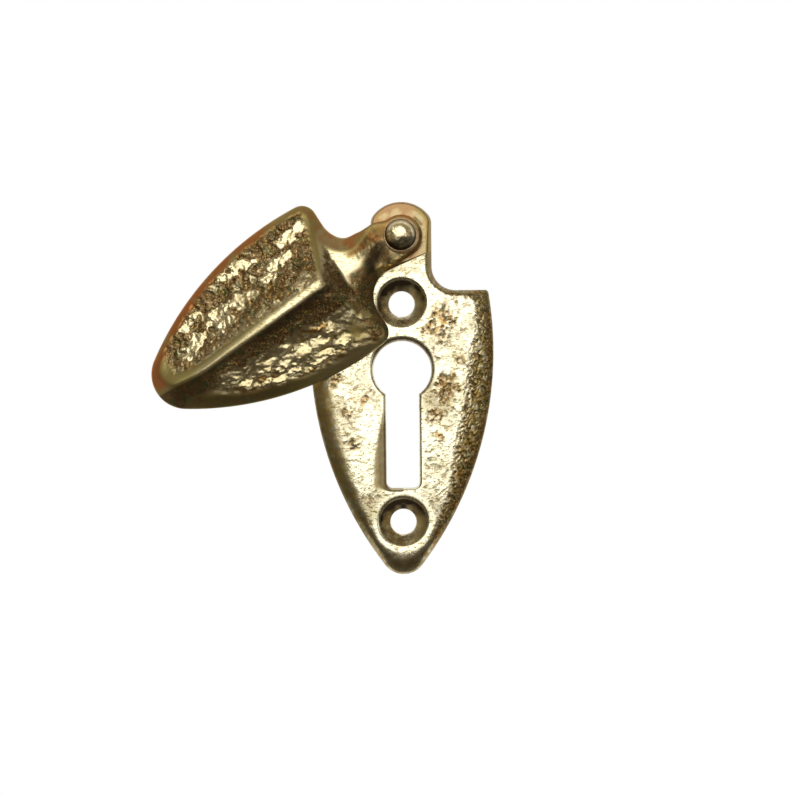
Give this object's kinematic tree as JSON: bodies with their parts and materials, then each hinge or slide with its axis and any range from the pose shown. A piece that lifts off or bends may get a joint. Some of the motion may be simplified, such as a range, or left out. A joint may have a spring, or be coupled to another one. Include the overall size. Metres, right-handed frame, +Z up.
{
  "type": "covered keyhole escutcheon",
  "caption": "Shield-shaped cast brass keyhole plate with screw holes and a swinging hammered cover on a round-headed rivet.",
  "frame": {"origin": "middle of the two screw holes, on the plate's back face that lies against the door", "axes": "+X to the right, +Z up along the plate, -Y out of the door towards the viewer"},
  "size_m": [0.0484, 0.0086, 0.0529],
  "materials": {
    "plate_brass": "polished, fine cast pits",
    "cover_brass": "hammered and polished, dark in the hollows",
    "rivet_brass": "polished"
  },
  "bodies": {
    "plate": {"back_plate": "plate_brass", "pivot_rivet": "rivet_brass"},
    "cover": {"swing_cover": "cover_brass"}
  },
  "joints": [
    {"name": "cover_swing", "type": "hinge", "parent": "plate", "child": "cover", "pos_m": [0, 0, 0.025], "axis": [0, -1, 0], "continuous": true}
  ]
}
